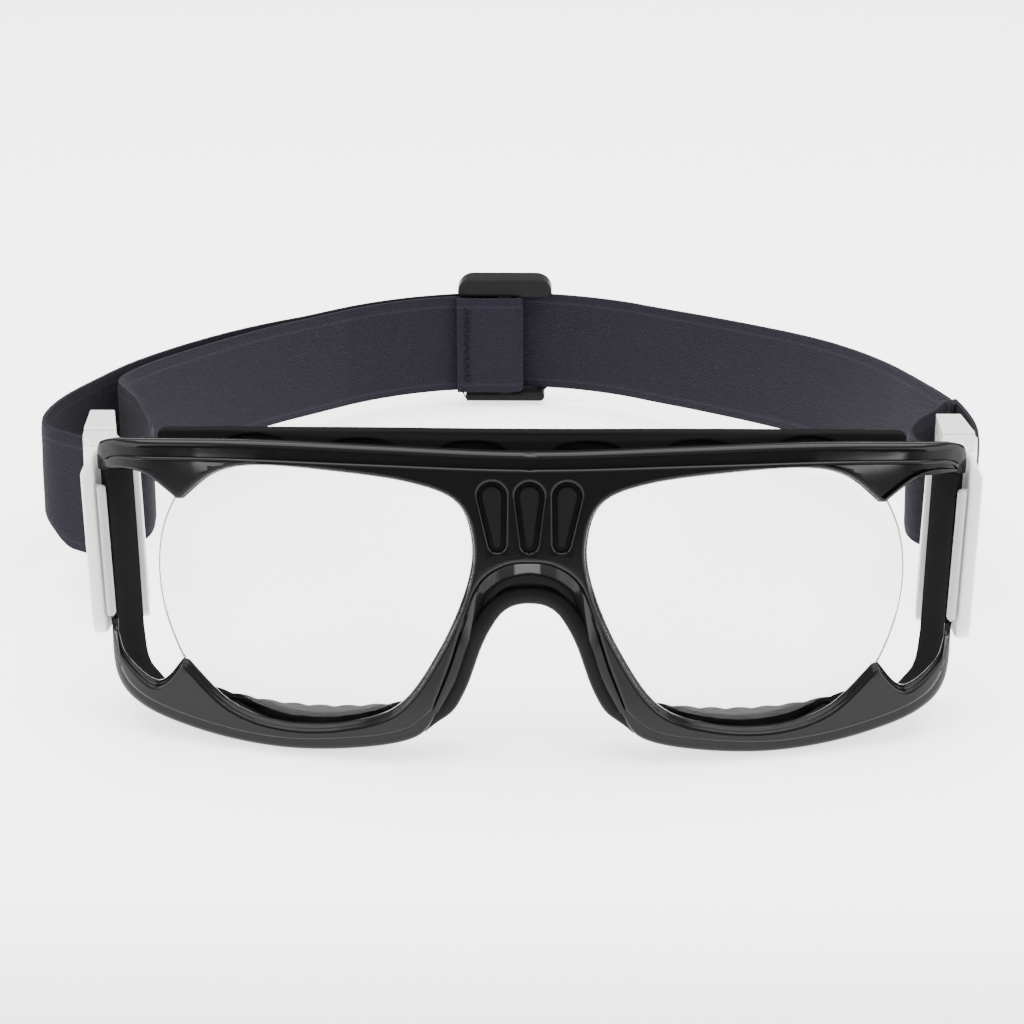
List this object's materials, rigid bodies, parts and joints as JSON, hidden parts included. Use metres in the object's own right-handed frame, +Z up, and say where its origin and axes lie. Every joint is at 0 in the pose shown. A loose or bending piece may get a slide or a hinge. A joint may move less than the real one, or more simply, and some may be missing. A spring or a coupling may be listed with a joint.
{
  "type": "sports goggles",
  "caption": "Clear-lens protective sports goggles with a black wraparound frame, swinging side clips and an elastic strap with a sliding buckle",
  "frame": {"origin": "middle of the footprint, on the surface the goggles rest on", "axes": "X to the right as seen from the front, Y from the front of the frame to the back of the strap, Z up"},
  "size_m": [0.1992, 0.206, 0.0605],
  "materials": {
    "frame_gloss": "gloss black moulding",
    "lens_clear": "clear, polished",
    "soft_black": "soft black, slight sheen",
    "clip_milky": "milky white, translucent",
    "buckle_black": "satin black",
    "webbing": "fine elastic weave, dark charcoal with a violet cast",
    "thread": "dark thread"
  },
  "bodies": {
    "frame": {"front_frame": "frame_gloss", "lens_left": "lens_clear", "lens_right": "lens_clear", "brow_liner": "soft_black", "nose_saddle": "soft_black", "cheek_liner_left": "soft_black", "cheek_liner_right": "soft_black", "bridge_inlay_left": "soft_black", "bridge_inlay_middle": "soft_black", "bridge_inlay_right": "soft_black", "strap_main": "webbing", "strap_take_up": "webbing", "strap_slack": "webbing"},
    "clip_left": {"side_clip_left": "clip_milky", "strap_turn_left": "webbing"},
    "clip_right": {"side_clip_right": "clip_milky", "strap_loop_right": "webbing", "loop_tack_right": "thread"},
    "slider": {"slider": "buckle_black", "strap_end_loop": "webbing", "slider_tack": "thread"}
  },
  "joints": [
    {"name": "clip_left_swing", "type": "hinge", "parent": "frame", "child": "clip_left", "pos_m": [-0.07465, -0.08366, 0.03456], "axis": [0, 0.1392, 0.9903], "range_deg": [0, 15], "deforming": ["strap_turn_left"]},
    {"name": "clip_right_swing", "type": "hinge", "parent": "frame", "child": "clip_right", "pos_m": [0.08356, -0.08366, 0.03456], "axis": [0, -0.1392, -0.9903], "range_deg": [0, 15], "deforming": ["strap_loop_right"]},
    {"name": "slider_travel", "type": "hinge", "parent": "frame", "child": "slider", "pos_m": [-0.00455, 0.03314, 0.0167], "axis": [0, 0, 1], "range_deg": [-20, 20], "deforming": ["strap_slack"]}
  ]
}
